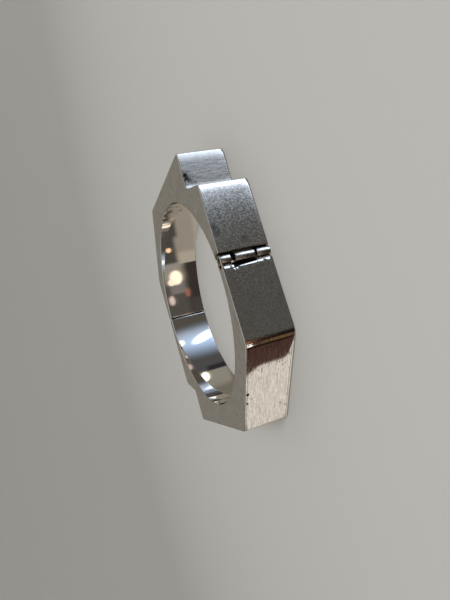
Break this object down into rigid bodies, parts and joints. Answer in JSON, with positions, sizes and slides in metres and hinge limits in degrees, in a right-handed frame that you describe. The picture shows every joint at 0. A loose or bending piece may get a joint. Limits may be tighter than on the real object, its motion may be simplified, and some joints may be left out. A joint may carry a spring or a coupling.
{
  "type": "hinged bangle",
  "caption": "Silver hinged bangle with an angular outline, notched corners and an oval wrist opening. A flush barrel hinge opens it and a hidden tongue clasp closes it.",
  "frame": {"origin": "centre of the oval wrist opening, on the side face that rests on the table", "axes": "+Z through the opening and up from the table, +X out of the flat front face below the hinge, +Y towards the notched corner above the hinge"},
  "size_m": [0.0678, 0.0804, 0.012],
  "materials": {
    "band_silver": "sterling silver, satin faces with brush marks, polished inside, worn bright at the edges and lightly tarnished",
    "pin_silver": "polished silver wire",
    "clasp_silver": "filed silver strip"
  },
  "bodies": {
    "lower": {"lower_half": "band_silver", "hinge_pin": "pin_silver"},
    "upper": {"upper_half": "band_silver", "clasp_tongue": "clasp_silver"}
  },
  "joints": [
    {"name": "hinge", "type": "hinge", "parent": "lower", "child": "upper", "pos_m": [0.02, 0.02377, 0.006], "axis": [0, 0, -1], "range_deg": [0, 90]}
  ]
}
